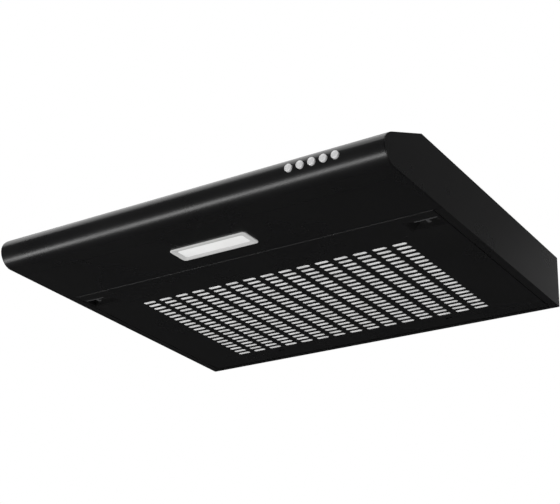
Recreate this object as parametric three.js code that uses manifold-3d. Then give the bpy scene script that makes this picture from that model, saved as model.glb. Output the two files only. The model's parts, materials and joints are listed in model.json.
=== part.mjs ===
// Under-cabinet range hood, 600 mm wide, slim visor form.
// Millimetres, +Z up, +Y towards the wall, +X to the right of someone facing the hood.
// Everything is drawn with y counted from the foremost point of the nose and z from the underside,
// and the whole group is then moved so that the origin lies on the top face, midway between the
// fixing holes that hold the hood under its cabinet.
import * as THREE from "three";
import { mergeGeometries, mergeVertices } from "three/addons/utils/BufferGeometryUtils.js";
import Module from "manifold-3d";

const wasm = await Module();
wasm.setup();

// ---------------------------------------------------------------- driving dimensions

const SIDES = [{ name: "left", sign: -1 }, { name: "right", sign: 1 }];

const gap = 0.3; // between pieces that touch
const slip = 0.6; // round pieces that move in a hole, on the radius
const sheet = 1; // painted steel sheet

const casing = { width: 600, depth: 490, height: 75, rimWidth: 12, rearRim: 7 };
const nose = {
  tangent: 21, // depth at which the lower rounding meets the underside
  frontHeight: 22.3, // height of the foremost point
  slopeStart: 17, // depth at which the upper rounding meets the slope
  slopeHeight: 42.9, // height there
  slopeAngle: 24.8,
  lipDepth: 45.5,
  lowerPull: 10,
  upperPull: 9.5,
  segments: 12,
};
const fixing = { fromSide: 50, spacingY: 250, fromRear: 200, holeRadius: 4 };
const keyhole = { offset: 210, height: 50, headRadius: 5.5, neckRadius: 3, drop: 9 };

const underPanel = { rear: 138, flange: 12 };
const grille = {
  swing: 1.3, // open line round the panel
  flange: 10,
  rearGap: 2.3,
  rearFlange: 8,
};
const slots = {
  columns: 15,
  pitchX: 29.2,
  pitchY: 11.7,
  length: 21.5,
  width: 7.2,
  firstRow: 66, // from the front edge of the grille to the first row
  rearMargin: 40,
};
const hinge = { pinRadius: 1.5, fromRear: 4, height: 4, headRadius: 3, headLength: 1.8, bracket: 16 };

const latch = {
  fromSide: 1.7, // from the side of the grille panel to the insert
  barLength: 32,
  barThickness: 2.5,
  fromFront: 14.7, // from the front of the grille panel to the pocket insert
  pocketDepth: 22,
  pocketHeight: 8.6,
  innerMargin: 11, // sloping finger scoop on the side towards the middle
  wall: 2,
  travel: 5,
  stem: 3.6,
  height: 6,
  tipWidth: 14,
  tipHeight: 4,
  reach: 3.5, // past the edge it catches on
  shoulderLength: 1.5,
  shoulderWidth: 8.4,
};
const spring = { wireRadius: 0.45, coilRadius: 3.6, turns: 5, stepsPerTurn: 8, sides: 5 };

const mat = { margin: 5, thickness: 5 };
const wire = { radius: 1, holeRadius: 1.8, fromSlots: 17, firstX: 75, secondX: 223, rearX: 145 };

const lamp = {
  centreX: -6.4,
  centreY: 93.8,
  width: 121,
  depth: 34.5,
  corner: 5,
  proud: 1.5,
  lensWidth: 105,
  lensDepth: 21,
  lensCorner: 2.5,
  boxHeight: 23,
  boardThickness: 1.6,
  ledCount: 6,
};

const buttons = {
  names: ["off", "low", "medium", "high", "light"],
  fromRight: 65,
  pitch: 16,
  radius: 5,
  proud: 2.2,
  height: 22.3,
  travel: 2,
  guideFront: 5.5,
  guideThickness: 7,
  stemRadius: 2.4,
  guideHalf: 8,
  flangeWidth: 1.4,
  flange: 1.2,
  stemLength: 4,
};
const switchBlock = { depth: 22, height: 22, margin: 7 };

const fan = {
  centreX: -60,
  fromRear: 190,
  impellerRadius: 75,
  tongueGap: 9,
  scrollGrowth: 40,
  tongueAngle: 50,
  wall: 1.8,
  plate: 1.5,
  floorHeight: 18,
  inletRadius: 58,
  lip: 3.7,
  bladeCount: 30,
  bladeThickness: 1.2,
  bladeDepth: 12,
  blade: 34,
  disc: 2,
  motorRadius: 33,
  motorClear: 3,
  shaftRadius: 3,
  mountThickness: 2,
  screwMargin: 7, // from the motor's side to the circle of its screws
  mountMargin: 5, // from there to the edge of the plate
  lug: 6,
};
const collar = {
  centreX: 115,
  fromRear: 128,
  radius: 59.5,
  wall: 2,
  height: 32,
  flangeWidth: 10.5,
  flange: 2,
  plenumMargin: 2.5,
  spindleRadius: 1.5,
  spindleHeight: 14,
  flapThickness: 1.2,
  flapGap: 1.3,
  ringGap: 2, // from the flange to the shallow ring pressed round its seat
  ringWidth: 3,
  ringDepth: 0.4,
};
const screw = { headRadius: 3.6, headHeight: 2.2, shankRadius: 1.6, holeRadius: 2 };

const terminal = { width: 70, depth: 65, height: 28, fromRight: 25, aheadOfFan: 100, wall: 2, lid: 2 };
const gland = { fromRight: 60, height: 50, radius: 8, bore: 4.5, flangeRadius: 12, length: 14 };
const capacitor = { fromScroll: 36, fromRear: 230, length: 60, radius: 14, band: 12 };
const cable = { radius: 2.6, sides: 8, steps: 14 };

// ---------------------------------------------------------------- places worked out from them

const halfWidth = casing.width / 2;
const innerHalf = halfWidth - sheet - gap; // half the width between the end panels
const rear = casing.depth;
const top = casing.height;
const ceiling = top - sheet; // inner face of the top
const fixingY = rear - fixing.fromRear;

const grilleFront = underPanel.rear + grille.swing;
const grilleRear = rear - sheet - gap - casing.rearRim + sheet - grille.rearGap;
const grilleHalf = halfWidth - casing.rimWidth - grille.swing + gap;
const hingeY = grilleRear - hinge.fromRear;

const slotRows = Math.floor(
  (grilleRear - slots.rearMargin - grilleFront - slots.firstRow) / slots.pitchY) + 1;
const firstSlotY = grilleFront + slots.firstRow;
const lastSlotY = firstSlotY + (slotRows - 1) * slots.pitchY;
const slotFieldHalf = ((slots.columns - 1) * slots.pitchX + slots.length) / 2;

const latchX = grilleHalf - latch.fromSide - latch.wall - gap - latch.barLength / 2;
const pocketFront = grilleFront + latch.fromFront + latch.wall;
const pocketRear = pocketFront + latch.pocketDepth;

const fanX = fan.centreX;
const fanY = rear - fan.fromRear;
const tongueRadius = fan.impellerRadius + fan.tongueGap;
const exitRadius = tongueRadius + fan.scrollGrowth;
const fanTop = ceiling - gap;
const roofUnder = fanTop - fan.plate;
const fanFloorTop = fan.floorHeight + fan.plate;
const bladeBottom = fan.floorHeight + fan.plate + fan.lip + 0.8;
const discTop = roofUnder - gap - fan.mountThickness - screw.headHeight - 2.5;
const motorTop = roofUnder - 2 * gap - fan.mountThickness;
const hubPlate = bladeBottom + 7;
const motorBottom = hubPlate + fan.disc + 5;
const screwCircle = fan.motorRadius + fan.screwMargin;
const collarY = rear - collar.fromRear;
const plenumHalf = collar.radius + collar.plenumMargin;

const buttonFlange = buttons.radius + buttons.flangeWidth;
const buttonX = (i) => halfWidth - buttons.fromRight - (buttons.names.length - 1 - i) * buttons.pitch;
const guideRear = buttons.guideFront + buttons.guideThickness;
const stemEnd = guideRear + gap + buttons.flange + buttons.stemLength;
const switchFront = stemEnd + buttons.travel + gap;

// ---------------------------------------------------------------- shapes to solids

function toSolid(geometry) {
  const bare = geometry.index ? geometry.toNonIndexed() : geometry.clone();
  bare.deleteAttribute("normal");
  bare.deleteAttribute("uv");
  const merged = mergeVertices(bare, 1e-4);
  const mesh = new wasm.Mesh({
    numProp: 3,
    vertProperties: new Float32Array(merged.attributes.position.array),
    triVerts: new Uint32Array(merged.index.array),
  });
  return new wasm.Manifold(mesh);
}

function toGeometry(solid) {
  const mesh = solid.getMesh();
  const geometry = new THREE.BufferGeometry();
  geometry.setAttribute("position", new THREE.BufferAttribute(new Float32Array(mesh.vertProperties), 3));
  geometry.setIndex(new THREE.BufferAttribute(new Uint32Array(mesh.triVerts), 1));
  geometry.computeVertexNormals();
  return geometry;
}

const join = (first, ...rest) => rest.reduce((whole, piece) => whole.add(piece), first);
const cut = (whole, ...tools) => tools.reduce((left, tool) => left.subtract(tool), whole);

function box(x0, x1, y0, y1, z0, z1) {
  const geometry = new THREE.BoxGeometry(x1 - x0, y1 - y0, z1 - z0);
  return toSolid(geometry.translate((x0 + x1) / 2, (y0 + y1) / 2, (z0 + z1) / 2));
}

const AXES = {
  x: new THREE.Quaternion().setFromUnitVectors(new THREE.Vector3(0, 1, 0), new THREE.Vector3(1, 0, 0)),
  y: new THREE.Quaternion(),
  z: new THREE.Quaternion().setFromUnitVectors(new THREE.Vector3(0, 1, 0), new THREE.Vector3(0, 0, 1)),
};

// A rod of the given radius along an axis, from one value of that axis to another.
function rod(axis, radius, from, to, centre, sides = 24, farRadius = radius) {
  const geometry = new THREE.CylinderGeometry(farRadius, radius, to - from, sides);
  geometry.applyQuaternion(AXES[axis]);
  const middle = new THREE.Vector3(...centre);
  middle[axis] = (from + to) / 2;
  return toSolid(geometry.translate(middle.x, middle.y, middle.z));
}

// A solid turned about a vertical line through centre, from a closed profile of [radius, height].
function turned(profile, centre, sides = 40) {
  const points = profile.map(([r, z]) => new THREE.Vector2(r, z));
  const geometry = new THREE.LatheGeometry([...points, points[0]], sides);
  geometry.rotateX(Math.PI / 2);
  return toSolid(geometry.translate(centre[0], centre[1], 0));
}

const outlineOf = (points) => new THREE.Shape(points.map(([a, b]) => new THREE.Vector2(a, b)));

function extruded(shape, length, basis, origin) {
  const geometry = new THREE.ExtrudeGeometry(shape, { depth: length, bevelEnabled: false, curveSegments: 2 });
  geometry.applyMatrix4(new THREE.Matrix4().makeBasis(...basis));
  return toSolid(geometry.translate(...origin));
}

const X = new THREE.Vector3(1, 0, 0);
const Y = new THREE.Vector3(0, 1, 0);
const Z = new THREE.Vector3(0, 0, 1);

// Prisms along each axis: the outline is in (y, z), (x, z) or (x, y).
const prismX = (shape, x0, x1) => extruded(shape, x1 - x0, [Y, Z, X], [x0, 0, 0]);
const prismY = (shape, y0, y1) => extruded(shape, y1 - y0, [X, Z, Y.clone().negate()], [0, y1, 0]);
const prismZ = (shape, z0, z1) => extruded(shape, z1 - z0, [X, Y, Z], [0, 0, z0]);

function roundedRectangle(width, depth, radius, x = 0, y = 0) {
  const shape = new THREE.Shape();
  const [w, d] = [width / 2 - radius, depth / 2 - radius];
  shape.absarc(x + w, y + d, radius, 0, Math.PI / 2);
  shape.absarc(x - w, y + d, radius, Math.PI / 2, Math.PI);
  shape.absarc(x - w, y - d, radius, Math.PI, Math.PI * 1.5);
  shape.absarc(x + w, y - d, radius, Math.PI * 1.5, Math.PI * 2);
  return shape;
}

// A round bar along a line of points, mitred at each one.
function barAlong(points, radius, sides) {
  const directions = points.slice(1).map((p, i) => p.clone().sub(points[i]).normalize());
  const across = new THREE.Vector3(directions[0].y, -directions[0].x, 0);
  if (across.length() < 0.01) across.set(1, 0, 0);
  across.normalize();
  const up = directions[0].clone().cross(across);
  let ring = Array.from({ length: sides }, (_, i) => {
    const a = (i / sides) * Math.PI * 2;
    const offset = across.clone().multiplyScalar(Math.cos(a)).addScaledVector(up, Math.sin(a));
    return points[0].clone().addScaledVector(offset, radius);
  });
  const vertices = [...ring];
  const triangles = [];
  points.slice(1).forEach((p, i) => {
    const along = directions[i];
    const mitre = along.clone().add(directions[i + 1] ?? along);
    ring = ring.map((v) => v.clone().addScaledVector(along, p.clone().sub(v).dot(mitre) / along.dot(mitre)));
    vertices.push(...ring);
    for (let j = 0; j < sides; j++) {
      const [a, b] = [i * sides + j, i * sides + (j + 1) % sides];
      triangles.push(a, b, a + sides, b, b + sides, a + sides);
    }
  });
  const last = (points.length - 1) * sides;
  for (let j = 1; j < sides - 1; j++) {
    triangles.push(0, j + 1, j, last, last + j, last + j + 1);
  }
  const geometry = new THREE.BufferGeometry().setFromPoints(vertices);
  geometry.setIndex(triangles);
  return toSolid(geometry);
}

const vectors = (points) => points.map((p) => new THREE.Vector3(...p));

const smoothLine = (points, steps) =>
  new THREE.CatmullRomCurve3(vectors(points), false, "centripetal").getPoints(steps);

// ---------------------------------------------------------------- materials

const finish = (color, roughness, metalness = 0) =>
  new THREE.MeshStandardMaterial({ color, roughness, metalness });
const blackPaint = finish(0x131314, 0.38);
const silver = finish(0xc9cacc, 0.3, 0.9);
const zinc = finish(0x9a9da0, 0.45, 0.85);
const steel = finish(0xb4b6b8, 0.3, 1);
const blackPlastic = finish(0x18181a, 0.5);
const greyPlastic = finish(0x6d7074, 0.55);
const whitePlastic = finish(0xd6d6d4, 0.5);
const opal = finish(0xf4f4f0, 0.35);
const felt = finish(0xdcdcda, 0.95);
const boardGreen = finish(0x2d5a3c, 0.6);
const cableGrey = finish(0x4a4c50, 0.6);

const pieces = new THREE.Group();

function addPiece(name, solid, material) {
  const mesh = new THREE.Mesh(toGeometry(solid), material);
  mesh.name = name;
  pieces.add(mesh);
}

// ---------------------------------------------------------------- casing

// The outer side profile from the end of the lip, round the nose, up the slope and along the top.
function outerProfile(lipEnd, topEnd) {
  const slope = Math.tan(THREE.MathUtils.degToRad(nose.slopeAngle));
  const onSlope = (y) => nose.slopeHeight + slope * (y - nose.slopeStart);
  const bendDepth = nose.slopeStart + (top - nose.slopeHeight) / slope;
  const v = (y, z) => new THREE.Vector2(y, z);
  const lower = new THREE.CubicBezierCurve(
    v(nose.tangent, 0), v(nose.tangent - nose.lowerPull, 0),
    v(0, nose.frontHeight / 2), v(0, nose.frontHeight));
  const upper = new THREE.CubicBezierCurve(
    v(0, nose.frontHeight), v(0, nose.frontHeight + nose.upperPull),
    v(nose.slopeStart / 2, onSlope(nose.slopeStart / 2)), v(nose.slopeStart, nose.slopeHeight));
  return [
    v(lipEnd, 0),
    ...lower.getPoints(nose.segments),
    ...upper.getPoints(nose.segments).slice(1),
    v(bendDepth, top),
    v(topEnd, top),
  ];
}

// The closed outline of a sheet that follows a line, with its thickness on the line's right.
function sheetOutline(line, thickness) {
  const normals = line.slice(1).map((p, i) => {
    const d = p.clone().sub(line[i]).normalize();
    return new THREE.Vector2(d.y, -d.x);
  });
  const inner = line.map((p, i) => {
    const a = normals[Math.max(i - 1, 0)];
    const b = normals[Math.min(i, normals.length - 1)];
    const n = a.clone().add(b).normalize();
    return p.clone().addScaledVector(n, thickness / n.dot(b));
  });
  return new THREE.Shape([...line, ...inner.reverse()]);
}

function fixingHoles() {
  return [-1, 1].flatMap((sx) => [-1, 1].map((sy) =>
    rod("z", fixing.holeRadius, ceiling - 1, top + 1,
      [sx * (halfWidth - fixing.fromSide), fixingY + sy * fixing.spacingY / 2, 0], 16)));
}

const collarScrewAngles = [Math.PI / 4, Math.PI * 1.25];
const collarScrewCircle = collar.radius + collar.flangeWidth / 2;
const collarScrewAt = (angle) => [
  collar.centreX + collarScrewCircle * Math.cos(angle),
  collarY + collarScrewCircle * Math.sin(angle),
  0,
];

function seatRing() {
  const inner = collar.radius + collar.flangeWidth + collar.ringGap;
  const outer = inner + collar.ringWidth;
  return turned([
    [inner, top - collar.ringDepth],
    [outer, top - collar.ringDepth],
    [outer, top + 1],
    [inner, top + 1],
  ], [collar.centreX, collarY], 40);
}

function canopy() {
  const outline = sheetOutline(outerProfile(nose.lipDepth, rear - sheet - gap), sheet);
  const holes = buttons.names.map((_, i) =>
    rod("y", buttons.radius + slip, -2, sheet + 3, [buttonX(i), 0, buttons.height], 20));
  return cut(
    prismX(outline, -innerHalf, innerHalf),
    ...holes,
    ...fixingHoles(),
    seatRing(),
    rod("z", collar.radius - collar.wall, ceiling - 1, top + 1, [collar.centreX, collarY, 0], 40),
    ...collarScrewAngles.map((a) => rod("z", screw.holeRadius, ceiling - 1, top + 1, collarScrewAt(a), 12)));
}

function endPanel(sign) {
  const face = new THREE.Shape(outerProfile(rear, rear));
  const [outer, inner] = [halfWidth, halfWidth - sheet].map((x) => sign * x);
  const [low, high] = [Math.min(outer, inner), Math.max(outer, inner)];
  const rimInner = sign * (halfWidth - casing.rimWidth);
  const rimEnd = rear - sheet - gap - casing.rearRim + sheet - gap;
  const rim = box(Math.min(rimInner, outer), Math.max(rimInner, outer), grilleFront, rimEnd, 0, sheet);
  return join(prismX(face, low, high), rim);
}

function rearPanel() {
  const wall = box(-innerHalf, innerHalf, rear - sheet, rear, 0, top);
  const rim = box(-innerHalf, innerHalf, rear - sheet - casing.rearRim + sheet, rear - sheet / 2, 0, sheet);
  const holes = SIDES.flatMap(({ sign }) => {
    const x = sign * keyhole.offset;
    return [
      rod("y", keyhole.headRadius, rear - 3, rear + 2, [x, 0, keyhole.height - keyhole.drop], 20),
      box(x - keyhole.neckRadius, x + keyhole.neckRadius, rear - 3, rear + 2,
        keyhole.height - keyhole.drop, keyhole.height),
      rod("y", keyhole.neckRadius, rear - 3, rear + 2, [x, 0, keyhole.height], 16),
    ];
  });
  const glandHole = rod("y", gland.radius + gap, rear - 3, rear + 2,
    [halfWidth - gland.fromRight, 0, gland.height], 24);
  return cut(join(wall, rim), ...holes, glandHole);
}

const lampOpening = (extra) =>
  roundedRectangle(
    lamp.width - 8 + extra, lamp.depth - 8 + extra, lamp.corner - 2, lamp.centreX, lamp.centreY);

function frontUnderPanel() {
  const plate = box(-innerHalf, innerHalf, nose.lipDepth + gap, underPanel.rear, 0, sheet);
  const flange = box(-innerHalf, innerHalf, underPanel.rear - sheet, underPanel.rear, 0, underPanel.flange);
  const catches = SIDES.map(({ sign }) => {
    const x = sign * latchX;
    const half = latch.tipWidth / 2 + slip;
    return box(x - half, x + half, underPanel.rear - 3, underPanel.rear + 2,
      latch.height - latch.tipHeight / 2 - slip, latch.height + latch.tipHeight / 2 + slip);
  });
  return cut(join(plate, flange), ...catches, prismZ(lampOpening(0), -2, sheet + 2));
}

addPiece("canopy", canopy(), blackPaint);
SIDES.forEach(({ name, sign }) => addPiece(`end_panel_${name}`, endPanel(sign), blackPaint));
addPiece("rear_panel", rearPanel(), blackPaint);
addPiece("front_under_panel", frontUnderPanel(), blackPaint);

// ---------------------------------------------------------------- grille, filter and hinges

const wireHoleFrontY = firstSlotY - wire.fromSlots;
const wireHoleRearY = lastSlotY + wire.fromSlots;

// The slots as one cutting tool.
function slotTool() {
  const tools = [];
  for (let column = 0; column < slots.columns; column++) {
    for (let row = 0; row < slotRows; row++) {
      const x = (column - (slots.columns - 1) / 2) * slots.pitchX;
      const y = firstSlotY + row * slots.pitchY;
      tools.push(new THREE.BoxGeometry(slots.length, slots.width, 3 * sheet).translate(x, y, sheet / 2));
    }
  }
  return toSolid(mergeGeometries(tools));
}

function filterGrille() {
  const inner = grilleHalf - sheet;
  const tray = cut(
    box(-grilleHalf, grilleHalf, grilleFront, grilleRear, 0, grille.flange),
    box(-inner, inner, grilleFront + sheet, grilleRear - sheet, sheet, grille.flange + 1),
    box(-inner, inner, grilleRear - sheet - 1, grilleRear + 1, grille.rearFlange, grille.flange + 1),
    slotTool());
  const openings = SIDES.flatMap(({ sign }) => {
    const x = sign * latchX;
    const insert = insertExtent(sign);
    const tip = latch.tipWidth / 2 + slip;
    return [
      box(insert.x0 - gap, insert.x1 + gap,
        pocketFront - latch.wall - gap, pocketRear + latch.wall + gap, -1, sheet + 1),
      box(x - tip, x + tip, grilleFront - 1, grilleFront + sheet + 1,
        latch.height - latch.tipHeight / 2 - slip, latch.height + latch.tipHeight / 2 + slip),
      rod("x", hinge.pinRadius + gap, Math.min(sign * grilleHalf, sign * (grilleHalf - 3)) - 1,
        Math.max(sign * grilleHalf, sign * (grilleHalf - 3)) + 1, [0, hingeY, hinge.height], 16),
      rod("z", wire.holeRadius, -1, sheet + 1, [sign * wire.firstX, wireHoleFrontY, 0], 12),
      rod("z", wire.holeRadius, -1, sheet + 1, [sign * wire.secondX, wireHoleFrontY, 0], 12),
      box(sign * wire.rearX - 5, sign * wire.rearX + 5, wireHoleRearY - 2, wireHoleRearY + 2, -1, sheet + 1),
    ];
  });
  return cut(tray, ...openings);
}

// A grease-catching mat of non-woven felt that lies on the slots.
function greaseFilterMat() {
  const z = sheet + gap;
  return box(-slotFieldHalf - mat.margin, slotFieldHalf + mat.margin,
    firstSlotY - slots.width - mat.margin, lastSlotY + slots.width + mat.margin, z, z + mat.thickness);
}

// A spring wire bent to a V, with its ends in two front holes and its bend hooked in a rear slot.
function filterWire(sign) {
  const high = sheet + gap + mat.thickness + gap + wire.radius + 0.3;
  const low = sheet / 2;
  const tip = 2.5;
  const bend = 2;
  const leg = (x, inward) => [
    [x, wireHoleFrontY, low],
    [x, wireHoleFrontY, high - bend],
    [x + inward * 0.2, wireHoleFrontY + 0.6, high - 0.6],
    [x + inward * 0.6, wireHoleFrontY + bend, high],
    [wire.rearX - inward * tip, wireHoleRearY - bend, high],
    [wire.rearX - inward * tip * 0.95, wireHoleRearY - 0.5, high - 0.7],
    [wire.rearX - inward * tip * 0.9, wireHoleRearY, high - bend],
    [wire.rearX - inward * tip * 0.5, wireHoleRearY, low + 2],
  ];
  const points = [
    ...leg(wire.secondX, -1),
    [wire.rearX, wireHoleRearY, low + 1],
    ...leg(wire.firstX, 1).reverse(),
  ];
  return barAlong(vectors(points.map(([x, y, z]) => [sign * x, y, z])), wire.radius, 8);
}

function hingeBracket(sign) {
  const inner = grilleHalf + grille.swing;
  const [x0, x1] = [sign * inner, sign * (halfWidth - sheet - gap)].sort((a, b) => a - b);
  const block = box(x0, x1,
    hingeY - hinge.bracket / 2, hingeY + hinge.bracket / 4, sheet + gap, hinge.height + 5);
  return cut(block, rod("x", hinge.pinRadius + gap, x0 - 1, x1 + 1, [0, hingeY, hinge.height], 16));
}

function hingePin(sign) {
  const inner = grilleHalf - sheet - gap;
  const end = halfWidth - sheet - 2;
  const shank = rod("x", hinge.pinRadius, Math.min(sign * (inner - 1), sign * end),
    Math.max(sign * (inner - 1), sign * end), [0, hingeY, hinge.height], 16);
  const head = rod("x", Math.min(hinge.headRadius, hinge.height - sheet - gap),
    Math.min(sign * inner, sign * (inner - hinge.headLength)),
    Math.max(sign * inner, sign * (inner - hinge.headLength)), [0, hingeY, hinge.height], 16);
  return join(shank, head);
}

addPiece("filter_grille", filterGrille(), blackPaint);
addPiece("grease_filter_mat", greaseFilterMat(), felt);
SIDES.forEach(({ name, sign }) => {
  addPiece(`filter_wire_${name}`, filterWire(sign), steel);
  addPiece(`hinge_bracket_${name}`, hingeBracket(sign), zinc);
  addPiece(`hinge_pin_${name}`, hingePin(sign), steel);
});

// ---------------------------------------------------------------- latches

// The insert that holds each latch, between two values of x.
function insertExtent(sign) {
  const centre = sign * latchX;
  const outward = latch.barLength / 2 + gap + latch.wall;
  const inward = outward + latch.innerMargin;
  return sign > 0
    ? { x0: centre - inward, x1: centre + outward, centre }
    : { x0: centre - outward, x1: centre + inward, centre };
}

function latchHousing(sign) {
  const { x0, x1, centre } = insertExtent(sign);
  const [y0, y1] = [pocketFront - latch.wall, pocketRear + latch.wall];
  const roof = latch.pocketHeight;
  const body = box(x0, x1, y0, y1, 0, roof + latch.wall * 0.75);
  const lip = box(
    Math.min(x0, x0 - 3 * sign), Math.max(x1, x1 - 3 * sign), y0, y1 + 3, sheet + gap, sheet + gap + 1.3);
  const trimmed = sign > 0 ? [x0 + latch.wall, x1 - latch.wall] : [x1 - latch.wall, x0 + latch.wall];
  const [scoop, outer] = trimmed;
  const pocket = prismY(outlineOf([
    [scoop, -1], [scoop, 0], [scoop + sign * latch.innerMargin * 0.8, roof], [outer, roof], [outer, -1],
  ].map(([x, z]) => [x, z])), pocketFront, pocketRear);
  const stemHole = box(centre - latch.stem / 2 - gap, centre + latch.stem / 2 + gap, y0 - 1, pocketFront + 1,
    latch.height - latch.stem / 2 - gap, latch.height + latch.stem / 2 + gap);
  return cut(join(body, lip), pocket, stemHole);
}

function latchSlider(sign) {
  const { centre } = insertExtent(sign);
  const barFront = pocketFront + gap;
  const barRear = barFront + latch.barThickness;
  const tipFront = underPanel.rear - sheet - latch.reach + sheet;
  const tipRear = grilleFront + sheet + latch.reach - 0.5;
  const [low, high] = [latch.height - latch.tipHeight / 2, latch.height + latch.tipHeight / 2];
  const bar = box(centre - latch.barLength / 2, centre + latch.barLength / 2, barFront, barRear,
    0.2, latch.pocketHeight - gap);
  const rib = box(centre - 2.2, centre + 2.2, barRear - 0.5, barRear + 10.5, 1.6, latch.pocketHeight - gap);
  const stem = box(centre - latch.stem / 2, centre + latch.stem / 2, tipRear - 1, barFront + 1,
    latch.height - latch.stem / 2, latch.height + latch.stem / 2);
  const wide = latch.tipWidth / 2;
  const tip = prismX(outlineOf([
    [tipFront + 2, high], [tipFront, high - 2], [tipFront, low], [tipRear, low], [tipRear, high],
  ]), centre - wide, centre + wide);
  const shoulder = box(centre - latch.shoulderWidth / 2, centre + latch.shoulderWidth / 2,
    tipRear - 0.5, tipRear + latch.shoulderLength,
    latch.height - latch.shoulderWidth / 2, latch.height + latch.shoulderWidth / 2);
  return join(bar, rib, stem, tip, shoulder);
}

function latchSpring(sign) {
  const { centre } = insertExtent(sign);
  const start = grilleFront + sheet + latch.reach - 0.5 + latch.shoulderLength + spring.wireRadius + gap;
  const end = pocketFront - latch.wall - spring.wireRadius - gap;
  const steps = spring.turns * spring.stepsPerTurn;
  const points = Array.from({ length: steps + 1 }, (_, i) => {
    const a = (i / spring.stepsPerTurn) * Math.PI * 2;
    return [
      centre + spring.coilRadius * Math.cos(a),
      start + (end - start) * i / steps,
      latch.height + spring.coilRadius * Math.sin(a),
    ];
  });
  return barAlong(vectors(points), spring.wireRadius, spring.sides);
}

SIDES.forEach(({ name, sign }) => {
  addPiece(`latch_housing_${name}`, latchHousing(sign), blackPlastic);
  addPiece(`latch_${name}`, latchSlider(sign), blackPlastic);
  addPiece(`latch_spring_${name}`, latchSpring(sign), steel);
});

// ---------------------------------------------------------------- lamp

function lampBezel() {
  const { centreX: x, centreY: y } = lamp;
  const face = prismZ(roundedRectangle(lamp.width, lamp.depth, lamp.corner, x, y), -lamp.proud - gap, -gap);
  const skirt = prismZ(lampOpening(-2 * gap), -gap - 0.1, sheet + 3);
  const window = prismZ(
    roundedRectangle(lamp.lensWidth, lamp.lensDepth, lamp.lensCorner, x, y), -lamp.proud - 2, sheet + 5);
  const seat = prismZ(
    roundedRectangle(lamp.lensWidth + 4, lamp.lensDepth + 3, lamp.lensCorner + 0.5, x, y), 0.8, sheet + 5);
  return cut(join(face, skirt), window, seat);
}

function lampLens() {
  const { centreX: x, centreY: y } = lamp;
  const face = prismZ(
    roundedRectangle(lamp.lensWidth - 2 * gap, lamp.lensDepth - 2 * gap, lamp.lensCorner, x, y), -0.9, 1.2);
  const flange = prismZ(
    roundedRectangle(lamp.lensWidth + 4 - 2 * gap, lamp.lensDepth + 3 - 2 * gap, lamp.lensCorner, x, y),
    0.8 + gap, 0.8 + gap + 1.5);
  return join(face, flange);
}

function lampHousing() {
  const { centreX: x, centreY: y } = lamp;
  const z = sheet + gap;
  const walls = prismZ(roundedRectangle(lamp.width + 2, lamp.depth + 2, 2, x, y), z, z + lamp.boxHeight);
  const hollow = prismZ(
    roundedRectangle(lamp.width - 1, lamp.depth - 1, 1, x, y), z - 1, z + lamp.boxHeight - sheet);
  const feet = box(x - lamp.width / 2 - 10, x + lamp.width / 2 + 10, y - 7, y + 7, z, z + sheet);
  return cut(join(walls, feet), hollow);
}

function ledBoard() {
  const { centreX: x, centreY: y } = lamp;
  const z = sheet + gap + 8;
  const board = box(x - lamp.lensWidth / 2, x + lamp.lensWidth / 2, y - 8, y + 8, z, z + lamp.boardThickness);
  const step = lamp.lensWidth / lamp.ledCount;
  const chips = Array.from({ length: lamp.ledCount }, (_, i) => {
    const cx = x - lamp.lensWidth / 2 + (i + 0.5) * step;
    return box(cx - 1.75, cx + 1.75, y - 1.4, y + 1.4, z - 0.8, z + 0.2);
  });
  return join(board, ...chips);
}

addPiece("lamp_bezel", lampBezel(), whitePlastic);
addPiece("lamp_lens", lampLens(), opal);
addPiece("lamp_housing", lampHousing(), zinc);
addPiece("led_board", ledBoard(), boardGreen);

// ---------------------------------------------------------------- push buttons

function pushButton(i) {
  const centre = [buttonX(i), 0, buttons.height];
  const cap = rod("y", buttons.radius, -buttons.proud, guideRear + gap + 0.5, centre, 20);
  const flangeFront = guideRear + gap;
  const flange = rod("y", buttonFlange, flangeFront, flangeFront + buttons.flange, centre, 16);
  const stem = rod("y", buttons.stemRadius, guideRear, stemEnd, centre, 8);
  return join(cap, flange, stem);
}

const guideLeft = buttonX(0) - buttonFlange - 4;
const guideRight = buttonX(buttons.names.length - 1) + buttonFlange + 4;

// Plate with a bore for each button, and two arms that carry the switch block.
function buttonGuide() {
  const half = buttons.guideHalf;
  const plate = box(guideLeft, guideRight, buttons.guideFront, guideRear,
    buttons.height - half, buttons.height + half - 1);
  const arms = [guideLeft, guideRight - 2].map((x) => box(x, x + 2, buttons.guideFront,
    switchFront + 6, buttons.height - half + 1, buttons.height + half - 2));
  const bores = buttons.names.map((_, i) =>
    rod("y", buttons.radius + slip, 0, guideRear + 5, [buttonX(i), 0, buttons.height], 20));
  return cut(join(plate, ...arms), ...bores);
}

function switchUnit() {
  const { depth, height, margin } = switchBlock;
  const z0 = buttons.height - height / 2;
  return box(guideLeft + 2 + gap, guideRight - 2 - gap, switchFront, switchFront + depth, z0, z0 + height)
    .add(box(guideLeft + margin, guideRight - margin, switchFront + depth - 1, switchFront + depth + 1.6,
      z0 - 3, z0 + height + 3));
}

buttons.names.forEach((name, i) => addPiece(`button_${name}`, pushButton(i), silver));
addPiece("button_guide", buttonGuide(), blackPlastic);
addPiece("switch_block", switchUnit(), whitePlastic);

// ---------------------------------------------------------------- fan

// The spiral of the scroll: it opens clockwise from the tongue, seen from above, and then
// runs straight to the outlet box under the collar.
function scrollShape(inset) {
  const turn = THREE.MathUtils.degToRad(fan.tongueAngle + 270);
  const start = THREE.MathUtils.degToRad(fan.tongueAngle);
  const points = [];
  for (let i = 0; i <= 32; i++) {
    const t = i / 32;
    const r = tongueRadius + fan.scrollGrowth * t - inset;
    points.push([fanX + r * Math.cos(start - turn * t), fanY + r * Math.sin(start - turn * t)]);
  }
  const [, tongueY] = points[0];
  points.push([collar.centreX, fanY + exitRadius - inset]);
  points.push([collar.centreX, tongueY]);
  return outlineOf(points);
}

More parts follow.
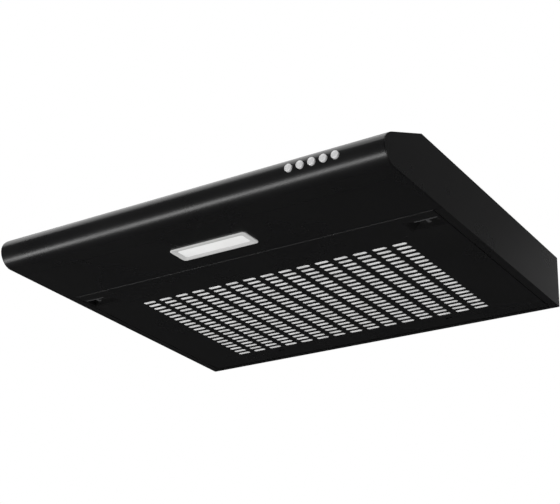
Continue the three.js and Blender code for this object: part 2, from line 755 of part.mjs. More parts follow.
const plenumShape = (inset) =>
  roundedRectangle(2 * (plenumHalf - inset), 2 * (plenumHalf - inset), 8 - inset, collar.centreX, collarY);

const fanOutline = (inset, z0, z1) =>
  join(prismZ(scrollShape(inset), z0, z1), prismZ(plenumShape(inset), z0, z1));

// Screw bosses outside the wall of the scroll.
const lugAngles = [200, 250, 300, 140];
const lugAt = (degrees) => {
  const t = (((fan.tongueAngle - degrees) % 360) + 360) % 360 / (fan.tongueAngle + 270);
  const r = tongueRadius + fan.scrollGrowth * t + fan.lug - fan.wall + 1;
  const a = THREE.MathUtils.degToRad(degrees);
  return [fanX + r * Math.cos(a), fanY + r * Math.sin(a), 0];
};

const motorScrewAt = (i) => {
  const a = (i / 3) * Math.PI * 2 + Math.PI / 6;
  return [fanX + screwCircle * Math.cos(a), fanY + screwCircle * Math.sin(a), 0];
};

function fanHousing() {
  const z0 = fanFloorTop + gap;
  const shell = fanOutline(0, z0, fanTop);
  const hollow = fanOutline(fan.wall, z0 - 1, roofUnder);
  const lugs = lugAngles.map((a) => rod("z", fan.lug, z0, z0 + 16, lugAt(a), 16));
  const pilots = lugAngles.map((a) => rod("z", screw.shankRadius + gap, z0 - 1, z0 + 10, lugAt(a), 10));
  return cut(
    join(shell, ...lugs).subtract(hollow),
    ...pilots,
    ...[...[0, 1, 2].map(motorScrewAt), ...collarScrewAngles.map(collarScrewAt)].map((place) =>
      rod("z", screw.shankRadius + gap, roofUnder - 1, fanTop + 1, place, 10)),
    rod("z", collar.radius - collar.wall, roofUnder - 1, fanTop + 1, [collar.centreX, collarY, 0], 40));
}

function fanFloor() {
  const plate = fanOutline(0, fan.floorHeight, fanFloorTop);
  const lugs = lugAngles.map((a) => rod("z", fan.lug, fan.floorHeight, fanFloorTop, lugAt(a), 16));
  const mouth = turned([
    [fan.inletRadius, fanFloorTop + fan.lip],
    [fan.inletRadius + 1, fan.floorHeight + 1.5],
    [fan.inletRadius + 4, fan.floorHeight],
    [fan.inletRadius + 8, fan.floorHeight],
    [fan.inletRadius + 3, fanFloorTop + 1],
    [fan.inletRadius + 2, fanFloorTop + fan.lip],
  ], [fanX, fanY], 36);
  const hole = rod("z", fan.inletRadius + 5, fan.floorHeight - 1, fanFloorTop + 1, [fanX, fanY, 0], 36);
  const holes = lugAngles.map((a) =>
    rod("z", screw.holeRadius, fan.floorHeight - 1, fanFloorTop + 1, lugAt(a), 10));
  return cut(join(cut(join(plate, ...lugs), hole), mouth), ...holes);
}

function impeller() {
  const { impellerRadius: r, bladeDepth, disc } = fan;
  const cup = fan.motorRadius + fan.motorClear;
  const centre = [fanX, fanY];
  const hub = turned([
    [fan.shaftRadius + gap, hubPlate - 3],
    [8, hubPlate - 3],
    [8, hubPlate],
    [cup + disc, hubPlate],
    [cup + disc, discTop - disc],
    [r, discTop - disc],
    [r, discTop],
    [cup, discTop],
    [cup, hubPlate + disc],
    [fan.shaftRadius + gap, hubPlate + disc],
  ], centre, 30);
  const ring = turned([
    [r - bladeDepth, bladeBottom],
    [r, bladeBottom],
    [r, bladeBottom + disc],
    [r - bladeDepth, bladeBottom + disc],
  ], centre, 30);
  const blades = Array.from({ length: fan.bladeCount }, (_, i) => {
    const geometry = new THREE.BoxGeometry(bladeDepth - 1, fan.bladeThickness, discTop - bladeBottom - disc);
    geometry.rotateZ(THREE.MathUtils.degToRad(fan.blade));
    geometry.translate(r - bladeDepth / 2, 0, (discTop + bladeBottom) / 2);
    geometry.rotateZ((i / fan.bladeCount) * Math.PI * 2);
    return toSolid(geometry.translate(fanX, fanY, 0));
  });
  return join(hub, ring, ...blades);
}

function motor() {
  const { motorRadius: r, shaftRadius } = fan;
  return turned([
    [shaftRadius + gap, motorBottom - 3],
    [9, motorBottom - 3],
    [9, motorBottom],
    [r - 4, motorBottom],
    [r, motorBottom + 4],
    [r, motorTop - 4],
    [r - 3, motorTop],
    [0, motorTop],
    [0, motorBottom + 9],
    [shaftRadius + gap, motorBottom + 9],
  ], [fanX, fanY], 24);
}

function motorMount() {
  const z0 = motorTop + gap;
  const plate = rod("z", screwCircle + fan.mountMargin, z0, z0 + fan.mountThickness, [fanX, fanY, 0], 32);
  return cut(plate, ...[0, 1, 2].map((i) =>
    rod("z", screw.holeRadius, z0 - 1, z0 + fan.mountThickness + 1, motorScrewAt(i), 10)));
}

const shaftEnd = hubPlate - 8.5;
const motorShaft = () => rod("z", fan.shaftRadius, shaftEnd, motorBottom + 8.5, [fanX, fanY, 0], 16);

function impellerNut() {
  const z1 = hubPlate - 3 - gap;
  return cut(rod("z", 6.5, z1 - 4, z1, [fanX, fanY, 0], 6),
    rod("z", fan.shaftRadius + gap, z1 - 5, z1 + 1, [fanX, fanY, 0], 16));
}

// A screw that points up: the head is below z and the shank above it.
function screwUp([x, y], z, length) {
  const head = rod("z", screw.headRadius - 0.8, z - screw.headHeight, z, [x, y, 0], 12, screw.headRadius);
  const slot = rod("z", 1.5, z - screw.headHeight - 1, z - screw.headHeight + 1.2, [x, y, 0], 4);
  return cut(join(head, rod("z", screw.shankRadius, z - 0.5, z + length, [x, y, 0], 8)), slot);
}

function screwDown([x, y], z, length) {
  const head = rod("z", screw.headRadius, z, z + screw.headHeight, [x, y, 0], 12, screw.headRadius - 0.8);
  const slot = rod("z", 1.5, z + screw.headHeight - 1.2, z + screw.headHeight + 1, [x, y, 0], 4);
  return cut(join(head, rod("z", screw.shankRadius, z - length, z + 0.5, [x, y, 0], 8)), slot);
}

addPiece("fan_housing", fanHousing(), greyPlastic);
addPiece("fan_inlet_plate", fanFloor(), greyPlastic);
addPiece("fan_impeller", impeller(), blackPlastic);
addPiece("fan_motor", motor(), zinc);
addPiece("motor_mount", motorMount(), zinc);
addPiece("motor_shaft", motorShaft(), steel);
addPiece("impeller_nut", impellerNut(), steel);
[0, 1, 2].forEach((i) => {
  const length = fan.mountThickness + gap + fan.plate;
  addPiece(`motor_screw_${i + 1}`, screwUp(motorScrewAt(i), motorTop, length), steel);
});
lugAngles.forEach((a, i) =>
  addPiece(`fan_screw_${i + 1}`, screwUp(lugAt(a), fan.floorHeight - gap, 10), steel));

// ---------------------------------------------------------------- outlet collar

const spindleZ = top + gap + collar.spindleHeight;
const collarBore = collar.radius - collar.wall;

function outletCollar() {
  const z0 = top + gap;
  const flangeRadius = collar.radius + collar.flangeWidth;
  const ring = turned([
    [collarBore, z0],
    [flangeRadius, z0],
    [flangeRadius, z0 + collar.flange],
    [collar.radius, z0 + collar.flange],
    [collar.radius, z0 + collar.height],
    [collarBore, z0 + collar.height],
  ], [collar.centreX, collarY], 40);
  const socket = rod("x", collar.spindleRadius + gap, collar.centreX - collar.radius - 1,
    collar.centreX + collar.radius + 1, [0, collarY, spindleZ], 12);
  const holes = collarScrewAngles.map((a) =>
    rod("z", screw.holeRadius, z0 - 1, z0 + 5, collarScrewAt(a), 12));
  return cut(ring, socket, ...holes);
}

// Half a disc with knuckles round the spindle: sign is the side of the spindle it lies on.
function flap(sign) {
  const knuckle = collar.spindleRadius + gap + collar.flapThickness;
  const r = collarBore - collar.flapGap;
  const inner = knuckle + 0.5;
  const points = [];
  const first = Math.asin(inner / r);
  for (let i = 0; i <= 20; i++) {
    const a = first + (i / 20) * (Math.PI - 2 * first);
    points.push([collar.centreX + r * Math.cos(a), collarY + sign * r * Math.sin(a)]);
  }
  const [low, high] = [spindleZ - collar.flapThickness / 2, spindleZ + collar.flapThickness / 2];
  const plate = prismZ(outlineOf(sign > 0 ? points : points.reverse()), low, high);
  const spans = sign > 0 ? [[-12, 12]] : [[-38, -14], [14, 38]];
  const knuckles = spans.map(([a, b]) => {
    const x0 = collar.centreX + a;
    const x1 = collar.centreX + b;
    const barrel = rod("x", knuckle, x0, x1, [0, collarY, spindleZ], 12);
    const web = box(x0, x1, Math.min(collarY, collarY + sign * (inner + 1)),
      Math.max(collarY, collarY + sign * (inner + 1)), low, high);
    return join(barrel, web);
  });
  const bore = rod("x", collar.spindleRadius + gap, collar.centreX - r, collar.centreX + r,
    [0, collarY, spindleZ], 12);
  return cut(join(plate, ...knuckles), bore);
}

const flapSpindle = () => rod("x", collar.spindleRadius, collar.centreX - collar.radius,
  collar.centreX + collar.radius, [0, collarY, spindleZ], 12);

addPiece("outlet_collar", outletCollar(), blackPlastic);
addPiece("flap_front", flap(-1), greyPlastic);
addPiece("flap_rear", flap(1), greyPlastic);
addPiece("flap_spindle", flapSpindle(), steel);
collarScrewAngles.forEach((a, i) =>
  addPiece(`collar_screw_${i + 1}`, screwDown(collarScrewAt(a), top + 2 * gap + collar.flange, 6), steel));

// ---------------------------------------------------------------- wiring

const terminalFront = fanY - terminal.aheadOfFan;
const terminalRight = halfWidth - terminal.fromRight;
const terminalLeft = terminalRight - terminal.width;
const terminalTop = ceiling - gap;
const terminalBottom = terminalTop - terminal.height;

function terminalBox() {
  const { depth, wall } = terminal;
  const y = terminalFront;
  const shell = box(terminalLeft, terminalRight, y, y + depth, terminalBottom, terminalTop);
  const hollow = box(terminalLeft + wall, terminalRight - wall, y + wall, y + depth - wall,
    terminalBottom - 1, terminalTop - wall);
  const block = box(terminalLeft + 20, terminalRight - 20, y + 25, y + 39,
    terminalTop - wall - 12, terminalTop - wall / 2);
  return join(cut(shell, hollow), block);
}

function terminalLid() {
  const { depth, lid } = terminal;
  const y = terminalFront;
  const z = terminalBottom - gap;
  const centre = [(terminalLeft + terminalRight) / 2, y + depth / 2, 0];
  return join(
    box(terminalLeft, terminalRight, y, y + depth, z - lid, z),
    rod("z", screw.headRadius, z - lid - 1.5, z - lid / 2, centre, 16));
}

function cableGland() {
  const centre = [halfWidth - gland.fromRight, 0, gland.height];
  const body = rod("y", gland.radius, rear - gland.length, rear + gap + 1, centre, 24);
  const flange = rod("y", gland.flangeRadius, rear + gap, rear + gap + 2.5, centre, 24);
  const nut = rod("y", gland.flangeRadius - 1, rear - sheet - gap - 4, rear - sheet - gap, centre, 6);
  return cut(join(body, flange, nut), rod("y", gland.bore, rear - gland.length - 1, rear + 5, centre, 16));
}

const capacitorX = fanX - exitRadius - capacitor.fromScroll;
const capacitorY = rear - capacitor.fromRear;
const capacitorZ = ceiling - gap - 2 - capacitor.radius;

function capacitorCan() {
  const centre = [capacitorX, 0, capacitorZ];
  const { length, radius } = capacitor;
  return join(
    rod("y", radius, capacitorY - length / 2, capacitorY + length / 2, centre, 24),
    rod("y", 2.5, capacitorY + length / 2 - 1, capacitorY + length / 2 + 7, centre, 10));
}

function capacitorBand() {
  const { radius, band } = capacitor;
  const centre = [capacitorX, 0, capacitorZ];
  const [y0, y1] = [capacitorY - band / 2, capacitorY + band / 2];
  const ring = rod("y", radius + gap + 1.2, y0, y1, centre, 24);
  const foot = box(capacitorX - 24, capacitorX + 24, y0, y1, ceiling - gap - 1.2, ceiling - gap);
  return cut(join(ring, foot), rod("y", radius + gap, y0 - 1, y1 + 1, centre, 24));
}

const lampRight = lamp.centreX + lamp.width / 2 + 1;
const lampCable = () => smoothLine([
  [lampRight + gap, lamp.centreY + 12, 14],
  [lampRight + 12, lamp.centreY + 12, 14],
  [(lampRight + guideLeft) / 2, (lamp.centreY + switchFront) / 2 + 10, 8],
  [guideLeft - 16, switchFront + 14, buttons.height - 6],
  [guideLeft - 4, switchFront + 14, buttons.height - 4],
  [guideLeft + 2, switchFront + 14, buttons.height - 4],
], cable.steps);

const switchRear = switchFront + switchBlock.depth + 1.6;
const switchCable = () => smoothLine([
  [buttonX(2), switchRear + gap, buttons.height],
  [buttonX(2), switchRear + 6, buttons.height],
  [buttonX(2), switchRear + 14, buttons.height + 2],
  [buttonX(2) + 8, (switchRear + terminalFront) / 2, ceiling - 12],
  [(terminalLeft + terminalRight) / 2, terminalFront - 16, terminalTop - 16],
  [(terminalLeft + terminalRight) / 2, terminalFront - 6, terminalTop - 16],
  [(terminalLeft + terminalRight) / 2, terminalFront - gap, terminalTop - 16],
], cable.steps);

// The motor's cable runs from the wall of the scroll to the terminal box.
const motorCable = () => {
  const degrees = -20;
  const a = THREE.MathUtils.degToRad(degrees);
  const wallRadius = tongueRadius + fan.scrollGrowth * (fan.tongueAngle - degrees) / (fan.tongueAngle + 270);
  const at = (r, z) => [fanX + r * Math.cos(a), fanY + r * Math.sin(a), z];
  const z = terminalTop - 14;
  return smoothLine([
    at(wallRadius + 0.8, z),
    at(wallRadius + 14, z),
    [(fanX + wallRadius + terminalLeft) / 2, terminalFront + 50, z + 6],
    [terminalLeft - 14, terminalFront + 30, z],
    [terminalLeft - gap, terminalFront + 30, z],
  ], cable.steps);
};

addPiece("terminal_box", terminalBox(), whitePlastic);
addPiece("terminal_lid", terminalLid(), whitePlastic);
addPiece("cable_gland", cableGland(), blackPlastic);
addPiece("capacitor", capacitorCan(), whitePlastic);
addPiece("capacitor_band", capacitorBand(), zinc);
addPiece("lamp_cable", barAlong(lampCable(), cable.radius, cable.sides), cableGrey);
addPiece("switch_cable", barAlong(switchCable(), cable.radius, cable.sides), cableGrey);
addPiece("motor_cable", barAlong(motorCable(), cable.radius, cable.sides), cableGrey);

// ---------------------------------------------------------------- the hood in its own frame

const hood = new THREE.Group();
pieces.position.set(0, -fixingY, -top);
hood.add(pieces);

export default hood;
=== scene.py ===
"""Looks of an under-cabinet range hood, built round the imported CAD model.

Lengths are in metres, in the model's own frame.
"""

import json
import math

import bmesh
import bpy
from mathutils import Matrix, Vector


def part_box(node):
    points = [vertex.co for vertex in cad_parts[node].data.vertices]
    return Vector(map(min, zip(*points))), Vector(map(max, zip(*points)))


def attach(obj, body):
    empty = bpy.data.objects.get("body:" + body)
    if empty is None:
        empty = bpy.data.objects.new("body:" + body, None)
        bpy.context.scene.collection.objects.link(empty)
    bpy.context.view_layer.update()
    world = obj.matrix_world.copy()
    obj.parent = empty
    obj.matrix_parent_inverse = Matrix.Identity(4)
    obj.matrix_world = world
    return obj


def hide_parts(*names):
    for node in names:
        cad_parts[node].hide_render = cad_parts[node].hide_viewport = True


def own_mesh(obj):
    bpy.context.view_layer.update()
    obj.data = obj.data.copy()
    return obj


MM = 0.001
TINY = 1e-6  # keeps rounding from deciding a comparison or making two points one

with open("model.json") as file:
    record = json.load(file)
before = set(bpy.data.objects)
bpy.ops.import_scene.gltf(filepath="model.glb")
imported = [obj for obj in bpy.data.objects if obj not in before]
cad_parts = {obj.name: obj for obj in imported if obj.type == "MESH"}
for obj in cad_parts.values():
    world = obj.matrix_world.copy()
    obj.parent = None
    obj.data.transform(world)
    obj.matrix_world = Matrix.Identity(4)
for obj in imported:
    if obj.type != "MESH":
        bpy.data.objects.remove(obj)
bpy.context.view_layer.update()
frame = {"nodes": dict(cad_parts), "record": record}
slot_of = {s["node"]: s["material_slot"] for s in frame["record"]["subparts"]}
body_of = {n: body for body, nodes in frame["record"]["behaviour"]["bodies"].items() for n in nodes}

# ---------------------------------------------------------------- node trees


class Tree:
    """A material's nodes, with short calls to add and link them."""

    def __init__(self, name):
        self.material = bpy.data.materials.new(name)
        self.material.use_nodes = True
        self.tree = self.material.node_tree
        self.shader = self.tree.nodes["Principled BSDF"]
        self.place = self.add("ShaderNodeTexCoord").outputs["Object"]

    def add(self, kind, **inputs):
        node = self.tree.nodes.new(kind)
        for name, value in inputs.items():
            self.feed(node.inputs[name.replace("_", " ")], value)
        return node

    def feed(self, socket, value):
        if isinstance(value, bpy.types.NodeSocket):
            self.tree.links.new(value, socket)
        else:
            socket.default_value = value

    def set(self, **inputs):
        for name, value in inputs.items():
            self.feed(self.shader.inputs[name.replace("_", " ")], value)

    def stretched(self, scale, turn=(0, 0, 0)):
        mapping = self.add("ShaderNodeMapping", Vector=self.place, Rotation=turn, Scale=scale)
        return mapping.outputs["Vector"]

    def noise(self, scale, detail=3.0, place=None, distortion=0.0):
        node = self.add("ShaderNodeTexNoise", Vector=place or self.place, Scale=scale, Detail=detail,
                        Distortion=distortion)
        return node.outputs["Fac"]

    def ranged(self, value, low, high, source=(0.3, 0.7)):
        node = self.add("ShaderNodeMapRange", Value=value, From_Min=source[0], From_Max=source[1],
                        To_Min=low, To_Max=high)
        return node.outputs["Result"]

    def mixed(self, factor, first, second):
        ramp = self.add("ShaderNodeValToRGB", Fac=factor)
        ramp.color_ramp.elements[0].color = (*first, 1)
        ramp.color_ramp.elements[1].color = (*second, 1)
        return ramp.outputs["Color"]

    def sum(self, *values):
        total = values[0]
        for value in values[1:]:
            node = self.add("ShaderNodeMath")
            node.operation = "ADD"
            self.feed(node.inputs[0], total)
            self.feed(node.inputs[1], value)
            total = node.outputs[0]
        return total

    def bump(self, height, distance, strength=1.0):
        node = self.add("ShaderNodeBump", Height=height, Distance=distance, Strength=strength)
        self.set(Normal=node.outputs["Normal"])


def black_paint():
    """Semi-gloss paint on sheet steel: a faint orange peel, and a little unevenness in the gloss."""
    t = Tree("black_paint")
    peel = t.noise(620, 2)
    cloud = t.noise(9, 4)
    t.set(Base_Color=t.mixed(t.ranged(cloud, 0, 1), (0.0058, 0.0058, 0.0061), (0.0072, 0.0072, 0.0075)),
          Roughness=t.ranged(cloud, 0.26, 0.31), Metallic=0.0)
    t.bump(peel, 0.02 * MM)
    return t.material


def moulded(name, colour, roughness, grain=0.03, spread=0.12, painted_light=None):
    """Moulded plastic: fine spark-eroded grain and a slightly uneven tone.

    Where a mesh carries the marking attribute, the plastic takes the paler colour given: painted light, which
    makes that part look lit beside the same plastic in shade.
    """
    t = Tree(name)
    tone = t.ranged(t.noise(40, 4), 0, 1)
    dark = tuple(c * (1 - spread) for c in colour)
    light = tuple(min(1, c * (1 + spread)) for c in colour)
    base = t.mixed(tone, dark, light)
    # Painted light: a paler black wherever the mesh is marked.
    if painted_light:
        mark = t.add("ShaderNodeAttribute")
        mark.attribute_name = "painted_light"
        blend = t.add("ShaderNodeMix")
        blend.data_type = "RGBA"
        t.feed(blend.inputs["Factor"], mark.outputs["Fac"])
        t.feed(blend.inputs[6], base)
        t.feed(blend.inputs[7], (*painted_light, 1))
        base = blend.outputs[2]
    t.set(Base_Color=base,
          Roughness=t.ranged(t.noise(300, 3), roughness - 0.05, roughness + 0.05))
    t.bump(t.noise(2600, 2), grain * MM)
    return t.material


def metal(name, colour, roughness, along=(1, 60, 60), spangle=0.0):
    """Bright or plated metal with fine lines from rolling or turning."""
    t = Tree(name)
    lines = t.noise(90, 5, t.stretched(along))
    tone = t.ranged(lines, 0, 1)
    if spangle:
        cells = t.add("ShaderNodeTexVoronoi", Vector=t.place, Scale=260.0).outputs["Distance"]
        tone = t.sum(tone, t.ranged(cells, -spangle, spangle, (0, 0.8)))
    dark = tuple(c * 0.86 for c in colour)
    t.set(Base_Color=t.mixed(tone, dark, colour), Metallic=1.0,
          Roughness=t.ranged(lines, roughness - 0.06, roughness + 0.08))
    t.bump(lines, 0.012 * MM)
    return t.material


def silver_plating():
    """Satin silver on a plastic button."""
    t = Tree("silver_plating")
    grain = t.noise(900, 3)
    t.set(Base_Color=t.mixed(t.ranged(grain, 0, 1), (0.70, 0.70, 0.705), (0.82, 0.82, 0.82)),
          Metallic=0.3, Roughness=t.ranged(grain, 0.26, 0.36))
    t.bump(grain, 0.006 * MM)
    return t.material


def filter_felt():
    """White non-woven felt: crossing fibres over soft lumps, with a little shade between them."""
    t = Tree("filter_felt")
    fibres = [t.noise(240, 6, t.stretched((1, 7, 3), (0, 0, turn)), 1.2) for turn in (0.35, 1.3, 2.3)]
    lumps = t.noise(75, 5)
    height = t.sum(*fibres, lumps)
    shade = t.ranged(height, 0, 1, (1.62, 2.3))
    t.set(Base_Color=t.mixed(shade, (0.42, 0.42, 0.415), (0.86, 0.86, 0.855)),
          Roughness=0.95, Sheen_Weight=0.25, Sheen_Roughness=0.6)
    t.bump(height, 0.5 * MM, 0.8)
    return t.material


def opal_plastic():
    """Opal diffuser with fine ribs, glowing faintly from the board behind it."""
    t = Tree("opal_plastic")
    ribs = t.add("ShaderNodeTexWave", Vector=t.place, Scale=180.0, Distortion=0.0, Detail=0.0)
    ribs.bands_direction = "X"
    tone = t.noise(30, 3)
    t.set(Base_Color=t.mixed(t.ranged(tone, 0, 1), (0.84, 0.84, 0.835), (0.90, 0.90, 0.895)),
          Roughness=0.3, Emission_Color=(1, 1, 0.985, 1), Emission_Strength=0.03)
    t.bump(ribs.outputs["Fac"], 0.02 * MM)
    return t.material


def circuit_board():
    """Green lacquer over copper tracks."""
    t = Tree("circuit_board")
    tracks = t.add("ShaderNodeTexBrick", Vector=t.stretched((90, 90, 90)))
    tracks.inputs["Color1"].default_value = (0.022, 0.11, 0.045, 1)
    tracks.inputs["Color2"].default_value = (0.028, 0.13, 0.055, 1)
    tracks.inputs["Mortar"].default_value = (0.012, 0.06, 0.024, 1)
    t.set(Base_Color=tracks.outputs["Color"], Roughness=t.ranged(t.noise(200), 0.3, 0.45))
    t.bump(tracks.outputs["Fac"], 0.03 * MM)
    return t.material


MATERIALS = {
    "black_paint": black_paint(),
    # The paler black is painted light, for the latch sliders, so that they look lit in their shaded recesses.
    "black_plastic": moulded("black_plastic", (0.006, 0.006, 0.0062), 0.46, painted_light=(0.05, 0.05, 0.052)),
    "grey_plastic": moulded("grey_plastic", (0.15, 0.158, 0.17), 0.5),
    "white_plastic": moulded("white_plastic", (0.54, 0.54, 0.535), 0.42, 0.01, 0.03),
    "zinc_steel": metal("zinc_steel", (0.52, 0.54, 0.56), 0.38, spangle=0.25),
    "bright_steel": metal("bright_steel", (0.62, 0.63, 0.64), 0.26, (60, 60, 2)),
    "silver_plating": silver_plating(),
    "opal_plastic": opal_plastic(),
    "circuit_board": circuit_board(),
    "filter_felt": filter_felt(),
    "cable_sheath": moulded("cable_sheath", (0.05, 0.052, 0.058), 0.55, 0.02),
}

# ---------------------------------------------------------------- mesh helpers


def in_scene(mesh, name):
    obj = bpy.data.objects.new(name, mesh)
    bpy.context.scene.collection.objects.link(obj)
    return obj


def applied(obj):
    """The object with its modifiers made part of its mesh."""
    bpy.context.view_layer.update()
    mesh = bpy.data.meshes.new_from_object(obj.evaluated_get(bpy.context.evaluated_depsgraph_get()))
    obj.modifiers.clear()
    obj.data = mesh
    return obj


def smooth(obj, angle=32):
    """Smooth shading, broken where faces meet at more than the angle."""
    work = bmesh.new()
    work.from_mesh(obj.data)
    for face in work.faces:
        face.smooth = True
    for edge in work.edges:
        edge.smooth = len(edge.link_faces) == 2 and edge.calc_face_angle(0) < math.radians(angle)
    work.to_mesh(obj.data)
    work.free()
    return obj


def bevelled(obj, width, angle=40):
    """Edges sharper than the angle, rounded and softly shaded."""
    bevel = obj.modifiers.new("edge", "BEVEL")
    bevel.width = width
    bevel.segments = 2
    bevel.limit_method = "ANGLE"
    bevel.angle_limit = math.radians(angle)
    bevel.miter_outer = "MITER_ARC"
    applied(obj)
    smooth(obj)
    weighted = obj.modifiers.new("shade", "WEIGHTED_NORMAL")
    weighted.keep_sharp = True
    return applied(obj)


def cleaned(mesh):
    """A copy of a triangulated mesh with its flat faces whole again."""
    work = bmesh.new()
    work.from_mesh(mesh)
    bmesh.ops.remove_doubles(work, verts=work.verts, dist=0.002 * MM)
    bmesh.ops.dissolve_limit(work, verts=work.verts, edges=work.edges, angle_limit=math.radians(0.4))
    copy = bpy.data.meshes.new(mesh.name)
    work.to_mesh(copy)
    work.free()
    return copy


def finish_piece(obj, *nodes):
    """The piece takes its body and its finish from the nodes that it stands for."""
    slot = slot_of[nodes[0]]
    obj.data.materials.clear()
    obj.data.materials.append(MATERIALS[slot])
    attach(obj, body_of[nodes[0]])
    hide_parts(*nodes)
    return obj


def refine(node, width):
    """The node's own shape with whole faces and rounded edges."""
    obj = in_scene(cleaned(frame["nodes"][node].data), f"{node}_finished")
    return finish_piece(bevelled(obj, width * MM), node)


def solid(name, build):
    """An object from a bmesh that the function fills."""
    work = bmesh.new()
    build(work)
    bmesh.ops.recalc_face_normals(work, faces=work.faces)
    mesh = bpy.data.meshes.new(name)
    work.to_mesh(mesh)
    work.free()
    return in_scene(mesh, name)


def add_block(work, low, high):
    """A box from one corner to the other."""
    made = bmesh.ops.create_cube(work, size=1)["verts"]
    size = [b - a for a, b in zip(low, high)]
    middle = [(a + b) / 2 for a, b in zip(low, high)]
    bmesh.ops.scale(work, vec=size, verts=made)
    bmesh.ops.translate(work, vec=middle, verts=made)


def add_between(work, near, far):
    """A prism from one ring of points to another like it."""
    near, far = ([work.verts.new(p) for p in ring] for ring in (near, far))
    work.faces.new(near[::-1])
    work.faces.new(far)
    for i in range(len(near)):
        j = (i + 1) % len(near)
        work.faces.new((near[i], near[j], far[j], far[i]))


def add_prism(work, outline, z0, z1):
    """A prism over an outline of (x, y) points, which go round anticlockwise."""
    add_between(work, [(x, y, z0) for x, y in outline], [(x, y, z1) for x, y in outline])


def rounded_outline(x, y, width, depth, radius, steps=6):
    """A rectangle with round corners, anticlockwise."""
    points = []
    for corner in range(4):
        sx, sy = ((1, 1), (-1, 1), (-1, -1), (1, -1))[corner]
        cx, cy = x + sx * (width / 2 - radius), y + sy * (depth / 2 - radius)
        for k in range(steps + 1):
            a = math.pi / 2 * (corner + k / steps)
            points.append((cx + radius * math.cos(a), cy + radius * math.sin(a)))
    return points


def add_rings(work, rings, closed):
    """A skin over rings of equal count, with end caps, or closed round on itself."""
    made = [[work.verts.new(p) for p in ring] for ring in rings]
    pairs = list(zip(made, made[1:])) + ([(made[-1], made[0])] if closed else [])
    for a, b in pairs:
        for i in range(len(a)):
            j = (i + 1) % len(a)
            work.faces.new((a[i], a[j], b[j], b[i]))
    if not closed:
        work.faces.new(made[0][::-1])
        work.faces.new(made[-1])


def turned(work, profile, centre, axis, sides, closed=False):
    """A solid of revolution from (radius, place along the axis) points."""
    turn = {"z": Matrix.Identity(3), "y": Matrix(((1, 0, 0), (0, 0, 1), (0, -1, 0)))}[axis]
    rings = []
    for radius, along in profile:
        angles = [i / sides * math.tau for i in range(sides)]
        ring = [Vector((radius * math.cos(a), radius * math.sin(a), along)) for a in angles]
        rings.append([turn @ p + Vector(centre) for p in ring])
    add_rings(work, rings, closed)


def minus(obj, cutter):
    """The object less the cutter, which is used up."""
    bpy.context.view_layer.update()
    modifier = obj.modifiers.new("cut", "BOOLEAN")
    modifier.operation = "DIFFERENCE"
    modifier.solver = "EXACT"
    modifier.use_self = False
    modifier.object = cutter
    applied(obj)
    bpy.data.objects.remove(cutter)
    return obj


def arc(centre, radius, start, end, steps):
    """Points of an arc from one angle to another, in degrees."""
    return [(centre[0] + radius * math.cos(math.radians(start + (end - start) * i / steps)),
             centre[1] + radius * math.sin(math.radians(start + (end - start) * i / steps)))
            for i in range(steps + 1)]


def middle_of(node):
    low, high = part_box(node)
    return (low + high) / 2


# ---------------------------------------------------------------- casing


def canopy_skin():
    """The folded canopy: the fold between slope and top is rounded, and the nose shades as one curve."""
    work = bmesh.new()
    work.from_mesh(cleaned(frame["nodes"]["canopy"].data))
    shallow, steep, shortest, level = math.radians(18), math.radians(32), 0.3, 0.01 * MM
    folds = [e for e in work.edges if len(e.link_faces) == 2
             and shallow < e.calc_face_angle(0) < steep
             and abs(e.verts[0].co.y - e.verts[1].co.y) < level and e.calc_length() > shortest]
    bmesh.ops.bevel(work, geom=folds, offset=2.2 * MM, segments=4, affect="EDGES", profile=0.5)
    mesh = bpy.data.meshes.new("canopy_finished")
    work.to_mesh(mesh)
    work.free()
    finish_piece(bevelled(in_scene(mesh, "canopy_finished"), 0.2 * MM, 50), "canopy")


canopy_skin()
for node in ("end_panel_left", "end_panel_right"):
    refine(node, 0.4)
refine("rear_panel", 0.25)
refine("front_under_panel", 0.2)

# ---------------------------------------------------------------- grille and filter

SHEET = 1 * MM
SLOT_COLUMNS = 15
SLOT_PITCH = (29.2 * MM, 11.7 * MM)
SLOT_SIZE = (21.5 * MM, 7.2 * MM)
FIRST_ROW = 66 * MM
REAR_MARGIN = 40 * MM
FOLD = 0.7 * MM
LATCH_LIP = 3 * MM
LATCH_ROOM = 0.3 * MM
LATCH_WINDOW_HALF = 7.6 * MM
LATCH_WINDOW_HEIGHTS = (3.4 * MM, 8.6 * MM)
HOLE_TO_SLOTS = 17 * MM  # from the first or last row of slots to the holes before or behind it
WIRE_HOLES_X = (75 * MM, 223 * MM)
WIRE_HOLE_RADIUS = 1.8 * MM
REAR_HOLE_X = 145 * MM
REAR_HOLE = (10 * MM, 4 * MM, 1.2 * MM)  # width, depth, corner radius
PIN_HOLE_RADIUS = 1.8 * MM
PIN_HOLE_HALF = 8 * MM

grille_low, grille_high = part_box("filter_grille")
slot_rows = int((grille_high.y - REAR_MARGIN - grille_low.y - FIRST_ROW) / SLOT_PITCH[1] + TINY) + 1
first_slot = grille_low.y + FIRST_ROW
last_slot = first_slot + (slot_rows - 1) * SLOT_PITCH[1]


def slot_centres():
    for column in range(SLOT_COLUMNS):
        for row in range(slot_rows):
            yield (column - (SLOT_COLUMNS - 1) / 2) * SLOT_PITCH[0], first_slot + row * SLOT_PITCH[1]


